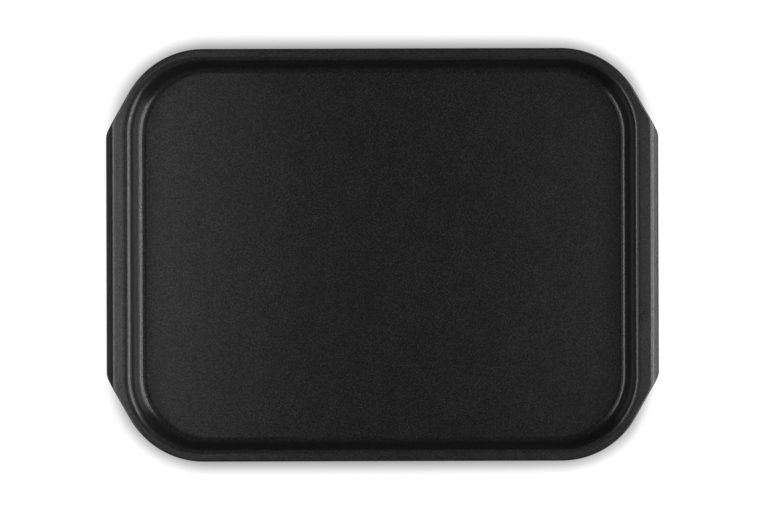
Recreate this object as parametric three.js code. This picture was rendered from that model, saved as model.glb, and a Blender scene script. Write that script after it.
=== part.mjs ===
// A shallow oven tray cast in one piece of iron, with a rounded rectangular rim and an ear along each
// short side whose outer lip is turned down. Black enamel covers the iron all over, as a coat inside, a
// coat outside and a coat under the base. Millimetres, +Z up, origin under the middle of the base.
import * as THREE from "three";

// Plan of the rim, over the enamel and without the ears
const RIM_LENGTH = 396.2;
const RIM_WIDTH = 310;
const RIM_CORNER_RADIUS = 64;

// Layers
const IRON_THICKNESS = 3.6;
const ENAMEL_THICKNESS = 0.4;

// Section through the wall, over the enamel, with angles in degrees
const INSIDE_DEPTH = 21; // crest of the rim to the cooking floor
const WALL_INSET = 10.9; // rim edge to the middle of the inner wall, in plan
const WALL_DRAFT = 10; // lean of the wall off vertical
const RIM_ROUND = 5.4; // rim into inner wall
const FLOOR_ROUND = 7; // inner wall into cooking floor
const FLANGE_ROUND = 2; // underside of the rim into outer wall
const FOOT_ROUND = 8; // outer wall into base
const EDGE_ROUND = 1.6; // upper and lower edges of rim and lips

// Ears, over the enamel, with angles in degrees
const EAR_REACH = 9.8; // beyond the rim edge
const EAR_TIP_ROUND = 12; // outer corners, in plan
const EAR_SLOPE = 9.7; // fall of the top outwards from the crest, less round the corners
const EAR_SLOPE_RUN = 1.4; // distance over which the crest takes up that slope
const LIP_ROUND = 6; // bend of the top into the lip
const LIP_TURN = 38.5; // steepest angle of the lip below level
const LIP_LENGTH = 4.6; // straight stretch below the bend

// Facets along each stretch of the outline and of the section
const TIP_FACETS = 2;
const FLANK_FACETS = 3;
const CORNER_FACETS = 7;
const ROUND_FACETS = 4;
const EAR_FACETS = 5;
const EDGE_FACETS = 2;

const MOST_OF_FACE = 0.95; // share of a face that the round at its end may take up
const SOLVE_STEPS = 50; // halvings, which is past the precision of the numbers

const { sin, cos, tan, asin, acos, atan, atan2, sqrt, min, max, PI } = Math;
const radians = THREE.MathUtils.degToRad;
const draft = radians(WALL_DRAFT);
const earSlope = radians(EAR_SLOPE);
const lipTurn = radians(LIP_TURN);
const thickness = IRON_THICKNESS + 2 * ENAMEL_THICKNESS;
const edgeRound = min(EDGE_ROUND, thickness / 2);

// Levels
const floorTop = thickness;
const rimTop = floorTop + INSIDE_DEPTH;

// Every outline of the tray is a rectangle of corner centres grown outwards by a distance r. A section is
// a list of points { r, z, facing }, where facing is the way the surface looks: 0 is up, a quarter turn is
// outwards and half a turn is down.
const cornerX = RIM_LENGTH / 2 - RIM_CORNER_RADIUS;
const cornerY = RIM_WIDTH / 2 - RIM_CORNER_RADIUS;

// Both faces of the wall lean outwards by the draft, one thickness apart.
const innerWallAt = (z) =>
  RIM_CORNER_RADIUS - WALL_INSET + (z - floorTop - INSIDE_DEPTH / 2) * tan(draft);
const outerWallAt = (z) => innerWallAt(z) + thickness / cos(draft);

// A round between a level face and the wall takes this share of its radius off each of them.
const wallTurn = PI / 2 - draft;
const tangentShare = tan(wallTurn / 2);

// Rounds are limited by the faces that they join.
const innerWallRoom = INSIDE_DEPTH / cos(draft) / tangentShare;
const innerShare = min(1, (MOST_OF_FACE * innerWallRoom) / (RIM_ROUND + FLOOR_ROUND));
const rimRoom = (RIM_CORNER_RADIUS - edgeRound - innerWallAt(rimTop)) / tangentShare;
const rimRound = min(RIM_ROUND * innerShare, MOST_OF_FACE * rimRoom);
const floorRound = FLOOR_ROUND * innerShare;

// The crest is where the rim's round has come level. The rim stays level from there along the long sides
// and falls towards the ears.
const crest = innerWallAt(rimTop) + rimRound * tangentShare;

// Ear in plan: a straight outer edge as long as the straight part of the rim, and flanks that run from its
// ends to touch the corner arcs.
const earEdge = RIM_CORNER_RADIUS + EAR_REACH;
const flankAngle = acos(RIM_CORNER_RADIUS / earEdge);
const flankLength = earEdge * sin(flankAngle);
const tipRoom = MOST_OF_FACE * min(flankLength, cornerY);
const tipTangent = min(EAR_TIP_ROUND * tan(flankAngle / 2), tipRoom);
const tipRound = tipTangent / tan(flankAngle / 2);
const tipEndAngle = atan(
  (tipTangent * cos(flankAngle)) / (earEdge - tipTangent * sin(flankAngle)),
);

// Lip in section, by its distance along X from the crest: a bend and a straight stretch.
const bendEnd = earEdge - crest - LIP_LENGTH * cos(lipTurn) - edgeRound * (1 - sin(lipTurn));
const lipRoom = bendEnd / (sin(lipTurn) - sin(earSlope));
const lipRound = min(LIP_ROUND, MOST_OF_FACE * lipRoom);
const bendStart = bendEnd - lipRound * (sin(lipTurn) - sin(earSlope));
const slopeRun = min(EAR_SLOPE_RUN, bendStart);
const slopeRadius = slopeRun / sin(earSlope);

// How far an ear's top has fallen and its gradient, at a distance out from the crest.
function slopeAt(out) {
  const steep = asin(min(max(0, out / slopeRadius), sin(earSlope)));
  const drop = slopeRadius * (1 - cos(steep)) + max(0, out - slopeRun) * tan(earSlope);
  return { drop, gradient: tan(steep) };
}

// Room under the rim, between its rounded edge and the wall, and down the outer wall
const slopeEnd = RIM_CORNER_RADIUS - edgeRound * (1 - sin(earSlope));
const undersideEnd = {
  r: slopeEnd - thickness * sin(earSlope),
  z: rimTop - slopeAt(slopeEnd - crest).drop - thickness * cos(earSlope),
};
const flangeWidth = (undersideEnd.r - outerWallAt(undersideEnd.z)) * cos(draft);
const flangeRoom = flangeWidth / (1 + sin(earSlope - draft));
const flangeRound = min(FLANGE_ROUND, MOST_OF_FACE * flangeRoom);
const outerWallRoom = undersideEnd.z / cos(draft) / tangentShare;
const footRound = min(FOOT_ROUND, MOST_OF_FACE * outerWallRoom - flangeRound);

// What the lip adds to that fall, at a distance along X from the crest.
function lipAt(out) {
  const bent = min(max(0, out - bendStart), bendEnd - bendStart);
  const steep = asin(sin(earSlope) + bent / lipRound);
  const bendDrop = lipRound * (cos(earSlope) - cos(steep)) - bent * tan(earSlope);
  const gradient = tan(steep) - tan(earSlope);
  return { drop: bendDrop + max(0, out - bendEnd) * gradient, gradient };
}

// How far the outline lies from the corner centres along a station's direction.
function outlineAt({ y, dx, dy }) {
  const side = y - cornerY;
  const tipX = earEdge - tipRound;
  const tipY = -tipTangent - side;
  const along = dx * tipX + dy * tipY;
  const tip = along + sqrt(max(0, along * along - tipX * tipX - tipY * tipY + tipRound * tipRound));
  if (dy === 0) return side < -tipTangent ? earEdge : tip;
  const angle = atan2(dy, dx);
  if (angle < tipEndAngle) return tip;
  return angle < flankAngle ? RIM_CORNER_RADIUS / cos(flankAngle - angle) : RIM_CORNER_RADIUS;
}

// Finds where a rising function reaches a value.
function solve(rising, value, low, high) {
  for (let step = 0; step < SOLVE_STEPS; step++) {
    const middle = (low + high) / 2;
    if (rising(middle) < value) low = middle;
    else high = middle;
  }
  return (low + high) / 2;
}

// Points on an arc. A hollow round has a negative radius.
function arc(centre, radius, from, to, facets) {
  return Array.from({ length: facets + 1 }, (_, i) => {
    const facing = from + ((to - from) * i) / facets;
    return { r: centre.r + radius * sin(facing), z: centre.z + radius * cos(facing), facing };
  });
}

// The whole section at one station, from the cooking floor out over the edge and back to the base.
function sectionAt(station) {
  const topAt = (r) => {
    const slope = slopeAt(r - crest);
    const lip = lipAt(r * station.dx - crest);
    const facing = atan((slope.gradient + lip.gradient) * station.dx);
    return { r, z: rimTop - slope.drop * station.dx - lip.drop, facing };
  };
  const inwards = ({ r, z, facing }, depth) => ({
    r: r - depth * sin(facing),
    z: z - depth * cos(facing),
  });

  const outline = outlineAt(station);
  const reachAt = (r) => r + edgeRound * (1 - sin(topAt(r).facing));
  const topEnd = solve(reachAt, outline, crest, outline);

  // Steps are even in distance and in turn together, so that the bend gets its share.
  const stretch = (r) => r + lipRound * topAt(r).facing;
  const stepsFrom = (start) =>
    Array.from({ length: EAR_FACETS + 1 }, (_, i) => {
      const value = stretch(start) + ((stretch(topEnd) - stretch(start)) * i) / EAR_FACETS;
      return topAt(solve(stretch, value, start, topEnd));
    });

  const floorCentre = {
    r: innerWallAt(floorTop) - floorRound * tangentShare,
    z: floorTop + floorRound,
  };
  const rimCentre = { r: crest, z: rimTop - rimRound };
  const top = stepsFrom(crest).slice(1, -1);

  const last = topAt(topEnd);
  const upperEdge = arc(
    inwards(last, edgeRound),
    edgeRound,
    last.facing,
    last.facing + PI / 2,
    EDGE_FACETS,
  );
  const lowerEdge = arc(
    inwards(last, thickness - edgeRound),
    edgeRound,
    last.facing + PI / 2,
    last.facing + PI,
    EDGE_FACETS,
  );

  // The underside is the top moved down by the thickness, as far as the round that leads it into the wall.
  const flangeCentreUnder = (r) => inwards(topAt(r), thickness + flangeRound);
  const gapToWall = (r) => {
    const centre = flangeCentreUnder(r);
    return (centre.r - outerWallAt(centre.z)) * cos(draft);
  };
  const flangeEnd = solve(gapToWall, flangeRound, crest, topEnd);
  const flangeCentre = flangeCentreUnder(flangeEnd);
  const underside = stepsFrom(flangeEnd)
    .slice(1, -1)
    .reverse()
    .map((point) => ({ ...inwards(point, thickness), facing: point.facing + PI }));

  const footCentre = { r: outerWallAt(0) - footRound * tangentShare, z: footRound };

  const inside = [
    ...arc(floorCentre, -floorRound, 0, -wallTurn, ROUND_FACETS),
    ...arc(rimCentre, rimRound, -wallTurn, 0, ROUND_FACETS),
    ...top,
    ...upperEdge,
  ];
  const outside = [
    ...lowerEdge,
    ...underside,
    ...arc(flangeCentre, -flangeRound, topAt(flangeEnd).facing + PI, PI - wallTurn, ROUND_FACETS),
    ...arc(footCentre, footRound, PI - wallTurn, PI, ROUND_FACETS),
  ];
  return { points: [...inside, ...outside], seam: inside.length - 1 };
}

// Stations round one quarter of the outline, from the middle of an ear to the middle of a long side.
function quarterStations() {
  const angles = [];
  const addAngles = (from, to, facets) => {
    for (let i = 0; i < facets; i++) angles.push(from + ((to - from) * i) / facets);
  };
  addAngles(0, tipEndAngle, TIP_FACETS);
  addAngles(tipEndAngle, flankAngle, FLANK_FACETS);
  addAngles(flankAngle, PI / 2, CORNER_FACETS);
  const earSide = [0, cornerY - tipTangent].map((y) => ({ x: cornerX, y, dx: 1, dy: 0 }));
  const corner = angles.map((angle) => ({ x: cornerX, y: cornerY, dx: cos(angle), dy: sin(angle) }));
  const longSide = [cornerX, 0].map((x) => ({ x, y: cornerY, dx: 0, dy: 1 }));
  return [...earSide, ...corner, ...longSide];
}

// Rows of points round the whole tray, one row for each point of the section, `depth` below the surface.
function rowsAt(sections, depth) {
  const ring = (k, signX, signY) =>
    sections.map(({ station, points }) => {
      const { r, z, facing } = points[k];
      const out = r - depth * sin(facing);
      const x = signX * (station.x + out * station.dx);
      const y = signY * (station.y + out * station.dy);
      return new THREE.Vector3(x, y, z - depth * cos(facing));
    });
  return sections[0].points.map((_, k) => [
    ...ring(k, 1, 1),
    ...ring(k, -1, 1).reverse().slice(1),
    ...ring(k, -1, -1).slice(1),
    ...ring(k, 1, -1).reverse().slice(1, -1),
  ]);
}

// Triangles of the band between two rows, and of the whole surface from one row to another.
function band(rowA, rowB) {
  return rowA.flatMap((a, i) => {
    const next = (i + 1) % rowA.length;
    return [
      [a, rowB[i], rowB[next]],
      [a, rowB[next], rowA[next]],
    ];
  });
}

function surface(rows, first, last) {
  return rows.slice(first, last).flatMap((row, k) => band(row, rows[first + k + 1]));
}

// A level face inside a row, looking up, and triangles turned to look the other way.
function face(row) {
  const middle = new THREE.Vector3(0, 0, row[0].z);
  return row.map((point, i) => [middle, point, row[(i + 1) % row.length]]);
}

const turned = (triangles) => triangles.map(([a, b, c]) => [a, c, b]);

function piece(name, material, ...triangleLists) {
  const geometry = new THREE.BufferGeometry().setFromPoints(triangleLists.flat(2));
  geometry.computeVertexNormals();
  const mesh = new THREE.Mesh(geometry, material);
  mesh.name = name;
  return mesh;
}

const sections = quarterStations().map((station) => ({ station, ...sectionAt(station) }));
const seam = sections[0].seam;
const base = sections[0].points.length - 1;
const enamel = rowsAt(sections, 0);
const iron = rowsAt(sections, ENAMEL_THICKNESS);

const castIron = new THREE.MeshStandardMaterial({ color: 0x4b4a48, roughness: 0.7, metalness: 0.9 });
const satinBlack = new THREE.MeshStandardMaterial({ color: 0x121212, roughness: 0.45, metalness: 0 });
const mattBlack = new THREE.MeshStandardMaterial({ color: 0x161616, roughness: 0.7, metalness: 0 });

const ironCasting = piece(
  "iron_casting",
  castIron,
  face(iron[0]),
  surface(iron, 0, base),
  turned(face(iron[base])),
);

const insideEnamel = piece(
  "inside_enamel",
  satinBlack,
  face(enamel[0]),
  surface(enamel, 0, seam),
  band(enamel[seam], iron[seam]),
  turned(surface(iron, 0, seam)),
  turned(face(iron[0])),
);

const outsideEnamel = piece(
  "outside_enamel",
  satinBlack.clone(),
  surface(enamel, seam, base),
  band(enamel[base], iron[base]),
  turned(surface(iron, seam, base)),
  turned(band(enamel[seam], iron[seam])),
);

const baseEnamel = piece(
  "base_enamel",
  mattBlack,
  face(iron[base]),
  turned(band(enamel[base], iron[base])),
  turned(face(enamel[base])),
);

const tray = new THREE.Group();
tray.name = "roasting_tray";
tray.add(ironCasting, insideEnamel, outsideEnamel, baseEnamel);

export default tray;
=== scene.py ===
"""The looks of an enamelled cast iron oven tray, seen from straight above in a white studio.

The casting and its coats are fine skins made from the tray's section, which runs round one quarter of
the outline. Geometry Nodes mirror that quarter and give each coat its thickness.
"""

from math import acos, asin, atan, cos, pi, radians, sin, sqrt, tan

import bpy
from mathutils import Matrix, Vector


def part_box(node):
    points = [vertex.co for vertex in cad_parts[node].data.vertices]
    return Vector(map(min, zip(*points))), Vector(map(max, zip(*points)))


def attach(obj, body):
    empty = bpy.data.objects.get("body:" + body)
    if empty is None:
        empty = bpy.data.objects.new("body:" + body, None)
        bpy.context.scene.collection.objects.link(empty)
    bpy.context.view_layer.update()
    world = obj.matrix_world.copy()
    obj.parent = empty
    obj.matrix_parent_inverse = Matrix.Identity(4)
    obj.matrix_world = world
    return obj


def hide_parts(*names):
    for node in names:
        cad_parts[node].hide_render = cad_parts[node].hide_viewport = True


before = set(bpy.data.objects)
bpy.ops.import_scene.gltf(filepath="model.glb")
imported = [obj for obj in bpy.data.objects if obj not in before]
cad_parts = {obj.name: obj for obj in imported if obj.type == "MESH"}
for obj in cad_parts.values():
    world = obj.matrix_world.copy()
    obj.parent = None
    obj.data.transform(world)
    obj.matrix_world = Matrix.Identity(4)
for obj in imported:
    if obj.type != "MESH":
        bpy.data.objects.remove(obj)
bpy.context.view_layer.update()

MM = 0.001

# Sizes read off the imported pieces, in metres
inside_low, inside_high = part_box("inside_enamel")
base_low, base_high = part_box("base_enamel")
ENAMEL = base_high.z - base_low.z
RIM_TOP = inside_high.z
FLOOR_TOP = inside_low.z + ENAMEL
THICKNESS = FLOOR_TOP - base_low.z
EAR_TO_EAR = inside_high.x - inside_low.x
RIM_WIDTH = inside_high.y - inside_low.y

# Plan of the rim and the ears
RIM_CORNER = 64 * MM
EAR_REACH = 9.8 * MM
EAR_TIP_ROUND = 12 * MM

# Section through the wall
WALL_INSET = 10.9 * MM
WALL_DRAFT = radians(10)
RIM_ROUND = 5.4 * MM
FLOOR_ROUND = 7 * MM
FLANGE_ROUND = 2 * MM
FOOT_ROUND = 8 * MM
EDGE_ROUND = 1.6 * MM

# Section through an ear
EAR_SLOPE = radians(9.7)
EAR_SLOPE_RUN = 1.4 * MM
LIP_ROUND = 6 * MM
LIP_TURN = radians(38.5)
LIP_LENGTH = 4.6 * MM

# Steps along each stretch of the outline and of the section
EAR_SIDE_STEPS = 20
TIP_STEPS = 5
FLANK_STEPS = 16
CORNER_STEPS = 30
LONG_SIDE_STEPS = 30
FLAT_STEPS = 10
WALL_STEPS = 6
ROUND_STEPS = 12
STRIP_STEPS = 22
EDGE_STEPS = 6
SOLVE_STEPS = 50
WELD = 0.01 * MM
SHARP_EDGE = radians(40)

# Photograph's frame
IMAGE_WIDTH = 765
RIM_WIDTH_PIXELS = 413.1
METRES_PER_PIXEL = RIM_WIDTH / RIM_WIDTH_PIXELS
TRAY_OFF_CENTRE = (-0.2, 0.35)
TRAY_ROLL = radians(0.17)
CAMERA_HEIGHT = 1.6
CAMERA_ASIDE = 46 * MM
SENSOR_WIDTH = 36

# Range that nearly all of a noise lies in
NOISE_LOW = 0.3
NOISE_HIGH = 0.7

# Enamel: a ground coat under a glaze, both speckled, with broad patches, and painted light that makes
# the rim's top lighter
PEBBLE_SIZE = 0.8 * MM
PEBBLE_HEIGHT = 0.015 * MM
OUTER_PEBBLE_HEIGHT = PEBBLE_HEIGHT * 1.3
BASE_PEBBLE_HEIGHT = PEBBLE_HEIGHT * 1.6
GRAIN_SIZE = 0.55 * MM
GROUND_IOR = 1.3
GROUND_LEAST = 0.55
GROUND_SPECKLE = 1.35
GLAZE_IOR = 1.42
GLAZE_LEAST = 0.1
GLAZE_SPECKLE = 0.7
PATCH_SIZE = 18 * MM
PATCH_TONE = 0.1
PATCH_ROUGHNESS = 0.015
# Painted light: how much lighter the enamel's colour is made at the rim's top, and the depths below the
# top over which that grows
RIM_PAINTED_LIGHT = 1.45
PAINTED_LIGHT_FROM = 3 * MM
PAINTED_LIGHT_TO = 1 * MM

# Iron as it comes from the sand mould
SAND_GRAIN = 0.7 * MM
SAND_HEIGHT = 0.12 * MM
SAND_STRENGTH = 0.8
IRON_TONES = (0.05, 0.095)
IRON_GREEN = 0.98
IRON_BLUE = 0.95
IRON_METALLIC = 0.7
IRON_ROUGHNESS = (0.6, 0.75)

# Lamps and the room round them
LAMP_DISTANCE = 1.2
LAMP_LENGTH = 1.3
OVERHEAD_LENGTH = 0.75
ROOM_SHADE = 0.075

# Floor of white paper
FLOOR_REACH = 30
FLOOR_SHADE = 0.3
FIBRE_SIZE = 0.4 * MM
FIBRE_TONE = 0.01

# Floor's glow towards white, which is least beside the tray, as a painted shadow round the rim, and
# whole far away
LIFT_IN_PAINTED_SHADOW = 0.22
FLOOR_LIFT = 0.83
PAINTED_SHADOW_REACH = 15.5 * MM
# Painted shadow: near the right ear the distance to the rim counts for more, so the painted shadow fades
# sooner there
PAINTED_SHADOW_EAR_FADE = 2.2 * MM
PAINTED_SHADOW_EAR_FADE_FROM = 10 * MM
PAINTED_SHADOW_EAR_FADE_TO = 4 * MM
LIFT_GROWS_FROM = 0.36
LIFT_WHITE_FROM = 1.2


class Wire:
    """A node's output, which arithmetic extends with Math nodes."""

    def __init__(self, board, node, socket):
        self.board = board
        self.node = node
        self.socket = socket

    def __getitem__(self, name):
        return Wire(self.board, self.node, self.node.outputs[name])

    def _math(self, operation, *operands):
        return self.board.add("ShaderNodeMath", {"operation": operation}, *operands)

    def __add__(self, other):
        return self._math("ADD", self, other)

    __radd__ = __add__

    def __sub__(self, other):
        return self._math("SUBTRACT", self, other)

    def __rsub__(self, other):
        return self._math("SUBTRACT", other, self)

    def __mul__(self, other):
        return self._math("MULTIPLY", self, other)

    __rmul__ = __mul__

    def __gt__(self, other):
        return self._math("GREATER_THAN", self, other)


class Board:
    """A node tree, with one way to add a node to it."""

    def __init__(self, tree):
        self.tree = tree

    def add(self, kind, settings=None, *values, **named):
        """Adds a node and returns its first output.

        Values go to the inputs in use by place or, with _ for a space, by name.
        """
        node = self.tree.nodes.new(kind)
        for setting, value in (settings or {}).items():
            setattr(node, setting, value)
        inputs = [socket for socket in node.inputs if socket.enabled]
        for socket, value in zip(inputs, values):
            self.feed(socket, value)
        for name, value in named.items():
            label = name.replace("_", " ").strip()
            self.feed(next(socket for socket in inputs if socket.name == label), value)
        outputs = [socket for socket in node.outputs if socket.enabled]
        return Wire(self, node, outputs[0] if outputs else None)

    def feed(self, socket, value):
        for item in value if isinstance(value, list) else [value]:
            if isinstance(item, Wire):
                self.tree.links.new(item.socket, socket)
            else:
                socket.default_value = item


# Section and outline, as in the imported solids
wall_turn = pi / 2 - WALL_DRAFT
tangent_share = tan(wall_turn / 2)
corner_x = EAR_TO_EAR / 2 - EAR_REACH - RIM_CORNER
corner_y = RIM_WIDTH / 2 - RIM_CORNER
wall_middle = (FLOOR_TOP + RIM_TOP) / 2


def inner_wall_at(z):
    return RIM_CORNER - WALL_INSET + (z - wall_middle) * tan(WALL_DRAFT)


def outer_wall_at(z):
    return inner_wall_at(z) + THICKNESS / cos(WALL_DRAFT)


floor_edge = inner_wall_at(FLOOR_TOP) - FLOOR_ROUND * tangent_share
crest = inner_wall_at(RIM_TOP) + RIM_ROUND * tangent_share
base_edge = outer_wall_at(0) - FOOT_ROUND * tangent_share

ear_edge = RIM_CORNER + EAR_REACH
flank_angle = acos(RIM_CORNER / ear_edge)
tip_tangent = EAR_TIP_ROUND * tan(flank_angle / 2)
tip_end_angle = atan(tip_tangent * cos(flank_angle) / (ear_edge - tip_tangent * sin(flank_angle)))

bend_end = ear_edge - crest - LIP_LENGTH * cos(LIP_TURN) - EDGE_ROUND * (1 - sin(LIP_TURN))
bend_start = bend_end - LIP_ROUND * (sin(LIP_TURN) - sin(EAR_SLOPE))
slope_radius = EAR_SLOPE_RUN / sin(EAR_SLOPE)


def slope_at(out):
    """How far an ear's top has fallen and its gradient, at a distance out from the crest."""
    steep = asin(min(max(0, out / slope_radius), sin(EAR_SLOPE)))
    return slope_radius * (1 - cos(steep)) + max(0, out - EAR_SLOPE_RUN) * tan(EAR_SLOPE), tan(steep)


def lip_at(out):
    """What the lip adds to that fall and gradient, at a distance along X from the crest."""
    bent = min(max(0, out - bend_start), bend_end - bend_start)
    steep = asin(sin(EAR_SLOPE) + bent / LIP_ROUND)
    gradient = tan(steep) - tan(EAR_SLOPE)
    drop = LIP_ROUND * (cos(EAR_SLOPE) - cos(steep)) - bent * tan(EAR_SLOPE)
    return drop + max(0, out - bend_end) * gradient, gradient


def outline_at(y, dx, dy):
    """Distance from the corner centres to the outline, at height y on the ear side or in a direction."""
    side = y - corner_y
    tip_x = ear_edge - EAR_TIP_ROUND
    tip_y = -tip_tangent - side
    along = dx * tip_x + dy * tip_y
    tip = along + sqrt(max(0, along**2 - tip_x**2 - tip_y**2 + EAR_TIP_ROUND**2))
    if dy == 0:
        return ear_edge if side < -tip_tangent else tip
    angle = acos(dx)
    if angle < tip_end_angle:
        return tip
    return RIM_CORNER / cos(flank_angle - angle) if angle < flank_angle else RIM_CORNER


def solve(rising, value, low, high):
    """Finds where a rising function reaches a value."""
    for _ in range(SOLVE_STEPS):
        middle = (low + high) / 2
        if rising(middle) < value:
            low = middle
        else:
            high = middle
    return (low + high) / 2


def steps_between(start, end, steps):
    """Even steps from start to just before end."""
    return [start + (end - start) * i / steps for i in range(steps)]


def arc(r, z, radius, start, end, steps):
    """Points of the section on an arc. A hollow round has a negative radius."""
    facings = steps_between(start, end, steps) + [end]
    return [(r + radius * sin(facing), z + radius * cos(facing), facing) for facing in facings]


def straight(start, end, steps):
    """Points of the section between two others that face the same way, without those two."""
    shares = steps_between(0, 1, steps)[1:]
    return [tuple(a + (b - a) * share for a, b in zip(start, end)) for share in shares]


def inwards(point, depth):
    r, z, facing = point
    return r - depth * sin(facing), z - depth * cos(facing)


def section_at(y, dx, dy):
    """Stretches of the section, as points of distance out, height and facing."""

    def top_at(r):
        fall, fall_gradient = slope_at(r - crest)
        drop, drop_gradient = lip_at(r * dx - crest)
        return r, RIM_TOP - fall * dx - drop, atan((fall_gradient + drop_gradient) * dx)

    def reach_at(r):
        return r + EDGE_ROUND * (1 - sin(top_at(r)[2]))

    def stretch(r):
        return r + LIP_ROUND * top_at(r)[2]

    def strip_from(start):
        values = steps_between(stretch(start), stretch(top_end), STRIP_STEPS)[1:]
        return [top_at(solve(stretch, value, start, top_end)) for value in values]

    def flange_centre_under(r):
        return inwards(top_at(r), THICKNESS + FLANGE_ROUND)

    def gap_to_wall(r):
        out, z = flange_centre_under(r)
        return (out - outer_wall_at(z)) * cos(WALL_DRAFT)

    outline = outline_at(y, dx, dy)
    top_end = solve(reach_at, outline, crest, outline)
    end = top_at(top_end)
    edge_facing = end[2] + pi / 2
    flange_end = solve(gap_to_wall, FLANGE_ROUND, crest, top_end)
    flange_facing = top_at(flange_end)[2] + pi

    floor_flat = [(r, FLOOR_TOP, 0) for r in steps_between(0, floor_edge, FLAT_STEPS)]
    floor_round = arc(floor_edge, FLOOR_TOP + FLOOR_ROUND, -FLOOR_ROUND, 0, -wall_turn, ROUND_STEPS)
    rim_round = arc(crest, RIM_TOP - RIM_ROUND, RIM_ROUND, -wall_turn, 0, ROUND_STEPS)
    inner_wall = straight(floor_round[-1], rim_round[0], WALL_STEPS)
    upper_edge = arc(*inwards(end, EDGE_ROUND), EDGE_ROUND, end[2], edge_facing, EDGE_STEPS)
    inside = floor_flat + floor_round + inner_wall + rim_round + strip_from(crest) + upper_edge

    lower_edge = arc(
        *inwards(end, THICKNESS - EDGE_ROUND), EDGE_ROUND, edge_facing, end[2] + pi, EDGE_STEPS
    )
    under = [(*inwards(point, THICKNESS), point[2] + pi) for point in strip_from(flange_end)]
    flange_round = arc(
        *flange_centre_under(flange_end), -FLANGE_ROUND, flange_facing, pi - wall_turn, ROUND_STEPS
    )
    foot_round = arc(base_edge, FOOT_ROUND, FOOT_ROUND, pi - wall_turn, pi, ROUND_STEPS)
    outer_wall = straight(flange_round[-1], foot_round[0], WALL_STEPS)
    outside = upper_edge[-1:] + lower_edge + under[::-1] + flange_round + outer_wall + foot_round

    base = [(r, 0, pi) for r in steps_between(base_edge, 0, FLAT_STEPS)] + [(0, 0, pi)]
    return {"inside": inside, "outside": outside, "base": base, "all": inside + outside[1:] + base[1:]}


def stations():
    """Places round a quarter of the outline, each a point within and a direction out."""
    ear_side = steps_between(0, corner_y - tip_tangent, EAR_SIDE_STEPS)
    ear_side += steps_between(corner_y - tip_tangent, corner_y, TIP_STEPS)
    angles = steps_between(0, tip_end_angle, TIP_STEPS)
    angles += steps_between(tip_end_angle, flank_angle, FLANK_STEPS)
    angles += steps_between(flank_angle, pi / 2, CORNER_STEPS)
    long_side = steps_between(corner_x, 0, LONG_SIDE_STEPS) + [0]
    return (
        [(corner_x, y, 1, 0) for y in ear_side]
        + [(corner_x, corner_y, cos(angle), sin(angle)) for angle in angles]
        + [(x, corner_y, 0, 1) for x in long_side]
    )


STATIONS = stations()
SECTIONS = [section_at(y, dx, dy) for x, y, dx, dy in STATIONS]


def flat_middle(z, facing):
    """Grid of the level face inside the corner centres, whose edges meet the innermost row."""
    xs = sorted({x for x, y, dx, dy in STATIONS})
    ys = sorted({y for x, y, dx, dy in STATIONS})
    outward = (0, 0, cos(facing))
    places = [((x, y, z), outward) for y in ys for x in xs]
    faces = []
    for j in range(len(ys) - 1):
        for i in range(len(xs) - 1):
            a = j * len(xs) + i
            loop = (a, a + 1, a + 1 + len(xs), a + len(xs))
            faces.append(loop if facing == 0 else loop[::-1])
    return places, faces


def quarter(name, stretch):
    """Mesh of a stretch of the section run round a quarter, with its outward direction."""
    places = []
    faces = []
    rows = len(SECTIONS[0][stretch])
    for (x, y, dx, dy), section in zip(STATIONS, SECTIONS):
        for r, z, facing in section[stretch]:
            outward = (sin(facing) * dx, sin(facing) * dy, cos(facing))
            places.append(((x + r * dx, y + r * dy, z), outward))
    for i in range(len(STATIONS) - 1):
        for k in range(rows - 1):
            a = i * rows + k
            faces.append((a, a + 1, a + 1 + rows, a + rows))
    for r, z, facing in (SECTIONS[0][stretch][0], SECTIONS[0][stretch][-1]):
        if r == 0:
            more_places, more_faces = flat_middle(z, facing)
            first = len(places)
            places += more_places
            faces += [tuple(first + corner for corner in face) for face in more_faces]
    mesh = bpy.data.meshes.new(name)
    mesh.from_pydata([place for place, outward in places], [], faces)
    attribute = mesh.attributes.new("outward", "FLOAT_VECTOR", "POINT")
    attribute.data.foreach_set("vector", [number for place, outward in places for number in outward])
    return mesh


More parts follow.
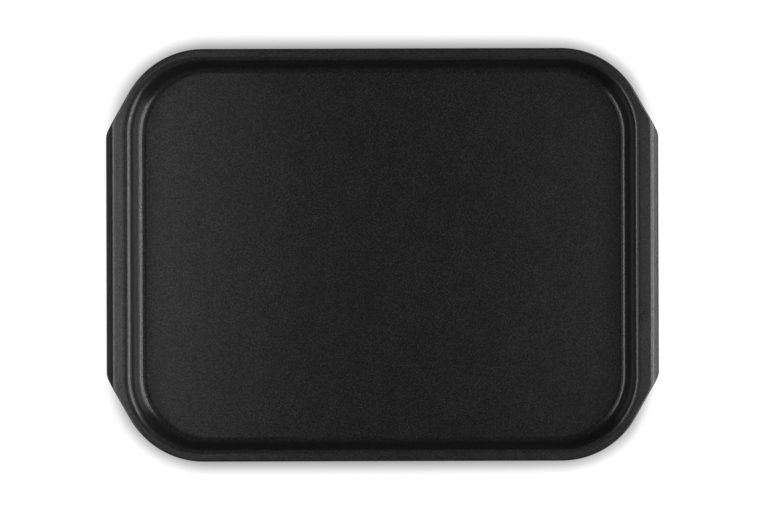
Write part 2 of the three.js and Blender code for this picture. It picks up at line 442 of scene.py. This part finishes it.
def skin_tree():
    """Geometry Nodes that sink a quarter below the finished surface, mirror it twice and thicken it."""
    tree = bpy.data.node_groups.new("mirrored_skin", "GeometryNodeTree")
    sockets = {"Quarter": "Geometry", "Sink": "Float", "Thickness": "Float", "Finish": "Material"}
    for name, kind in sockets.items():
        tree.interface.new_socket(name, in_out="INPUT", socket_type="NodeSocket" + kind)
    tree.interface.new_socket("Skin", in_out="OUTPUT", socket_type="NodeSocketGeometry")
    board = Board(tree)
    inputs = board.add("NodeGroupInput")
    outward = board.add("GeometryNodeInputNamedAttribute", {"data_type": "FLOAT_VECTOR"}, Name="outward")

    def scaled(vector, by):
        return board.add("ShaderNodeVectorMath", {"operation": "SCALE"}, vector, Scale=by)

    def mirrored(geometry, signs):
        copy = board.add("GeometryNodeTransform", None, geometry, Scale=signs)
        copy = board.add("GeometryNodeFlipFaces", None, copy)
        turned = board.add("ShaderNodeVectorMath", {"operation": "MULTIPLY"}, outward, signs)
        settings = {"data_type": "FLOAT_VECTOR", "domain": "POINT"}
        copy = board.add("GeometryNodeStoreNamedAttribute", settings, copy, Name="outward", Value=turned)
        return board.add("GeometryNodeJoinGeometry", None, [geometry, copy])

    def welded(geometry):
        return board.add("GeometryNodeMergeByDistance", None, geometry, Distance=WELD)

    sheet = board.add(
        "GeometryNodeSetPosition", None, inputs["Quarter"], Offset=scaled(outward, 0 - inputs["Sink"])
    )
    sheet = welded(mirrored(mirrored(sheet, (-1, 1, 1)), (1, -1, 1)))
    back = board.add(
        "GeometryNodeExtrudeMesh",
        {"mode": "FACES"},
        sheet,
        Offset=scaled(outward, 0 - inputs["Thickness"]),
        Offset_Scale=1,
        Individual=False,
    )
    back = board.add("GeometryNodeFlipFaces", None, back)
    thick = welded(board.add("GeometryNodeJoinGeometry", None, [sheet, back]))
    skin = board.add(
        "GeometryNodeSwitch",
        {"input_type": "GEOMETRY"},
        Switch=inputs["Thickness"] > 0,
        False_=sheet,
        True_=thick,
    )
    skin = board.add("GeometryNodeSetShadeSmooth", {"domain": "FACE"}, skin)
    angle = board.add("GeometryNodeInputMeshEdgeAngle")
    skin = board.add(
        "GeometryNodeSetShadeSmooth",
        {"domain": "EDGE"},
        skin,
        Selection=angle > SHARP_EDGE,
        Shade_Smooth=False,
    )
    skin = board.add("GeometryNodeRealizeInstances", None, skin)
    skin = board.add("GeometryNodeSetMaterial", None, skin, Material=inputs["Finish"])
    board.add("NodeGroupOutput", None, skin)
    return tree


def skin(name, stretch, tree, finish, sink=0, thickness=0):
    """Piece whose mesh is what the nodes make of a quarter of a stretch of the section."""
    quarter_mesh = quarter(name + "_quarter", stretch)
    quarter_mesh.materials.append(finish)
    maker = bpy.data.objects.new(name + "_quarter", quarter_mesh)
    bpy.context.scene.collection.objects.link(maker)
    modifier = maker.modifiers.new("mirrored_skin", "NODES")
    modifier.node_group = tree
    sizes = {"Sink": sink, "Thickness": thickness, "Finish": finish}
    for item in tree.interface.items_tree:
        if item.in_out == "INPUT" and item.name in sizes:
            modifier[item.identifier] = sizes[item.name]
    whole = maker.evaluated_get(bpy.context.evaluated_depsgraph_get())
    mesh = bpy.data.meshes.new_from_object(whole)
    mesh.name = name
    piece = bpy.data.objects.new(name, mesh)
    bpy.context.scene.collection.objects.link(piece)
    bpy.data.objects.remove(maker)
    bpy.data.meshes.remove(quarter_mesh)
    return piece


def finish_board(name):
    """A new material's board, with its Object coordinates in metres."""
    material = bpy.data.materials.new(name)
    material.use_nodes = True
    material.node_tree.nodes.clear()
    board = Board(material.node_tree)
    return material, board, board.add("ShaderNodeTexCoord")["Object"]


def noise(board, place, feature, detail=2, roughness=0.5):
    """Noise of a feature size in metres, about 0.5 on average."""
    return board.add(
        "ShaderNodeTexNoise", None, place, Scale=1 / feature, Detail=detail, Roughness=roughness
    )


def spread(board, value, low, high):
    """Noise stretched to run from low to high."""
    ends = {"From_Min": NOISE_LOW, "From_Max": NOISE_HIGH, "To_Min": low, "To_Max": high}
    return board.add("ShaderNodeMapRange", None, value, **ends)


def growing(board, value, start, end, low, high):
    """Smooth change from low to high as the value goes from start to end."""
    settings = {"interpolation_type": "SMOOTHSTEP"}
    ends = {"From_Min": start, "From_Max": end, "To_Min": low, "To_Max": high}
    return board.add("ShaderNodeMapRange", settings, value, **ends)


def satin_enamel(name, shade, roughness, pebble_height):
    """Black vitreous enamel, a pebbled ground coat under a grainy glaze, with painted light making its
    colour lighter towards the rim's top.
    """
    material, board, place = finish_board(name)
    pebble = noise(board, place, PEBBLE_SIZE, detail=1)
    patches = noise(board, place, PATCH_SIZE, detail=3)
    cells = board.add("ShaderNodeTexVoronoi", None, place, Scale=1 / GRAIN_SIZE)["Color"]
    grain = board.add("ShaderNodeSeparateColor", None, cells)["Red"]
    speckle = grain * grain
    height = board.add("ShaderNodeSeparateXYZ", None, place)["Z"]
    # Painted light: the colour grows lighter towards the rim's top, standing in for light the rim
    # catches
    painted_rim_light = growing(board, height, RIM_TOP - PAINTED_LIGHT_FROM, RIM_TOP - PAINTED_LIGHT_TO, 1, RIM_PAINTED_LIGHT)
    patchy = spread(board, patches, 1 - PATCH_TONE, 1 + PATCH_TONE)
    tone = (GROUND_LEAST + GROUND_SPECKLE * speckle) * patchy * painted_rim_light * shade
    shader = board.add(
        "ShaderNodeBsdfPrincipled",
        None,
        Base_Color=board.add("ShaderNodeCombineColor", None, tone, tone, tone),
        Roughness=spread(board, patches, roughness - PATCH_ROUGHNESS, roughness + PATCH_ROUGHNESS),
        IOR=GROUND_IOR,
        Normal=board.add("ShaderNodeBump", None, Strength=1, Distance=pebble_height, Height=pebble),
        Coat_Weight=GLAZE_LEAST + GLAZE_SPECKLE * grain,
        Coat_Roughness=roughness,
        Coat_IOR=GLAZE_IOR,
    )
    board.add("ShaderNodeOutputMaterial", None, shader)
    return material


def bare_iron():
    """As-cast iron, mottled grey with the grain of the sand mould."""
    material, board, place = finish_board("as_cast_iron")
    grain = noise(board, place, SAND_GRAIN, detail=4, roughness=0.65)
    patches = noise(board, place, PATCH_SIZE, detail=4)
    tone = spread(board, (grain + patches) * 0.5, *IRON_TONES)
    colour = board.add("ShaderNodeCombineColor", None, tone, tone * IRON_GREEN, tone * IRON_BLUE)
    normal = board.add(
        "ShaderNodeBump", None, Strength=SAND_STRENGTH, Distance=SAND_HEIGHT, Height=grain
    )
    shader = board.add(
        "ShaderNodeBsdfPrincipled",
        None,
        Base_Color=colour,
        Metallic=IRON_METALLIC,
        Roughness=spread(board, patches, *IRON_ROUGHNESS),
        Normal=normal,
    )
    board.add("ShaderNodeOutputMaterial", None, shader)
    return material


def seen(board):
    """1 for rays from the camera, also by way of a reflection or through glass, and 0 for light."""
    path = board.add("ShaderNodeLightPath")
    return path["Is Camera Ray"] + path["Is Glossy Ray"] + path["Is Transmission Ray"]


def white_floor():
    """White floor, glowing towards white where it is looked at, and less beside the tray but for its
    right ear, which paints a soft shadow there.
    """
    material, board, place = finish_board("white_paper")

    def vector(operation, *values):
        return board.add("ShaderNodeVectorMath", {"operation": operation}, *values)

    beyond = vector("SUBTRACT", vector("ABSOLUTE", place), (corner_x, corner_y, 0))
    from_corner = vector("LENGTH", vector("MAXIMUM", beyond, (0, 0, 0)))
    # Painted shadow: near the right ear the distance counts for more, so the painted shadow ends sooner
    # there
    towards_right_ear = board.add("ShaderNodeSeparateXYZ", None, place)["X"]
    rim_end = corner_x + RIM_CORNER
    from_corner += growing(
        board, towards_right_ear, rim_end - PAINTED_SHADOW_EAR_FADE_FROM, rim_end + PAINTED_SHADOW_EAR_FADE_TO, 0, PAINTED_SHADOW_EAR_FADE
    )
    # Painted shadow: the floor glows less within this reach of the rim, and least right beside it
    painted_shadow_end = RIM_CORNER + PAINTED_SHADOW_REACH
    lift_and_painted_shadow = growing(board, from_corner, RIM_CORNER, painted_shadow_end, LIFT_IN_PAINTED_SHADOW, FLOOR_LIFT)
    lift_and_painted_shadow += growing(board, vector("LENGTH", place), LIFT_GROWS_FROM, LIFT_WHITE_FROM, 0, 1 - FLOOR_LIFT)
    lift_and_painted_shadow *= seen(board)
    fibre = noise(board, place, FIBRE_SIZE)
    tone = spread(board, fibre, FLOOR_SHADE - FIBRE_TONE, FLOOR_SHADE + FIBRE_TONE)
    shader = board.add(
        "ShaderNodeBsdfPrincipled",
        None,
        Base_Color=board.add("ShaderNodeCombineColor", None, tone, tone, tone),
        Roughness=1,
        Specular_IOR_Level=0,
        Emission_Color=board.add("ShaderNodeCombineColor", None, lift_and_painted_shadow, lift_and_painted_shadow, lift_and_painted_shadow),
        Emission_Strength=1,
    )
    board.add("ShaderNodeOutputMaterial", None, shader)
    reach = FLOOR_REACH
    mesh = bpy.data.meshes.new("studio_floor")
    corners = [(-reach, -reach, 0), (reach, -reach, 0), (reach, reach, 0), (-reach, reach, 0)]
    mesh.from_pydata(corners, [], [(0, 1, 2, 3)])
    mesh.materials.append(material)
    floor = bpy.data.objects.new("studio_floor", mesh)
    bpy.context.scene.collection.objects.link(floor)


def softbox(name, lean, level, half_angle, length):
    """Lamp that leans by an angle in degrees from straight above, towards the right ear.

    A white sheet in the middle of the tray would have the level's brightness under this lamp alone.
    """
    lean = radians(lean)
    reach = length / 2 / LAMP_DISTANCE
    kept = (reach / (1 + reach**2) + atan(reach)) / (2 * reach)
    lamp = bpy.data.lights.new(name, "AREA")
    lamp.shape = "RECTANGLE"
    lamp.size = 2 * LAMP_DISTANCE * tan(radians(half_angle))
    lamp.size_y = length
    lamp.energy = level * pi**2 * LAMP_DISTANCE**2 / cos(lean) / kept
    box = bpy.data.objects.new(name, lamp)
    box.location = (LAMP_DISTANCE * sin(lean), 0, LAMP_DISTANCE * cos(lean))
    box.rotation_euler = (0, lean, 0)
    bpy.context.scene.collection.objects.link(box)


def dim_room():
    """Dim room round the lamps."""
    world = bpy.data.worlds.new("studio_room")
    bpy.context.scene.world = world
    world.use_nodes = True
    world.node_tree.nodes.clear()
    board = Board(world.node_tree)
    shade = (ROOM_SHADE, ROOM_SHADE, ROOM_SHADE, 1)
    board.add("ShaderNodeOutputWorld", None, board.add("ShaderNodeBackground", None, shade))


def straight_down_camera():
    """Camera a little aside over the tray, which frames it as the photograph does."""
    lens = bpy.data.cameras.new("photograph_view")
    lens.sensor_width = SENSOR_WIDTH
    lens.lens = SENSOR_WIDTH * CAMERA_HEIGHT / (IMAGE_WIDTH * METRES_PER_PIXEL)
    camera = bpy.data.objects.new("photograph_view", lens)
    off_x, off_y = TRAY_OFF_CENTRE
    lens.shift_x = (-off_x - CAMERA_ASIDE / METRES_PER_PIXEL) / IMAGE_WIDTH
    lens.shift_y = -off_y / IMAGE_WIDTH
    camera.location = (CAMERA_ASIDE, 0, RIM_TOP - EDGE_ROUND + CAMERA_HEIGHT)
    camera.rotation_euler = (0, 0, -TRAY_ROLL)
    bpy.context.scene.collection.objects.link(camera)
    bpy.context.scene.camera = camera


straight_down_camera()
bpy.context.scene.view_settings.view_transform = "Standard"

tree = skin_tree()
inside_finish = satin_enamel(
    "satin_black_enamel", shade=0.01, roughness=0.25, pebble_height=PEBBLE_HEIGHT
)
outside_finish = satin_enamel(
    "outer_black_enamel", shade=0.011, roughness=0.3, pebble_height=OUTER_PEBBLE_HEIGHT
)
base_finish = satin_enamel(
    "matt_black_base", shade=0.014, roughness=0.6, pebble_height=BASE_PEBBLE_HEIGHT
)

inside_coat = skin("inside_coat", "inside", tree, inside_finish, thickness=ENAMEL)
outside_coat = skin("outside_coat", "outside", tree, outside_finish, thickness=ENAMEL)
base_coat = skin("base_coat", "base", tree, base_finish, thickness=ENAMEL)
casting = skin("tray_casting", "all", tree, bare_iron(), sink=ENAMEL)

for piece, node, slot in (
    (inside_coat, "inside_enamel", "inside_enamel"),
    (outside_coat, "outside_enamel", "outside_enamel"),
    (base_coat, "base_enamel", "base_enamel"),
    (casting, "iron_casting", "cast_iron"),
):
    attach(piece, "root")
    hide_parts(node)

white_floor()
softbox("left_softbox", lean=-47.3, level=0.335, half_angle=8.5, length=LAMP_LENGTH)
softbox("right_softbox", lean=51.3, level=0.35, half_angle=9, length=LAMP_LENGTH)
softbox("low_panel", lean=74, level=0.164, half_angle=7, length=LAMP_LENGTH)
softbox("left_overhead", lean=-22, level=0.062, half_angle=10, length=OVERHEAD_LENGTH)
softbox("right_overhead", lean=17, level=0.024, half_angle=7.5, length=OVERHEAD_LENGTH)
dim_room()
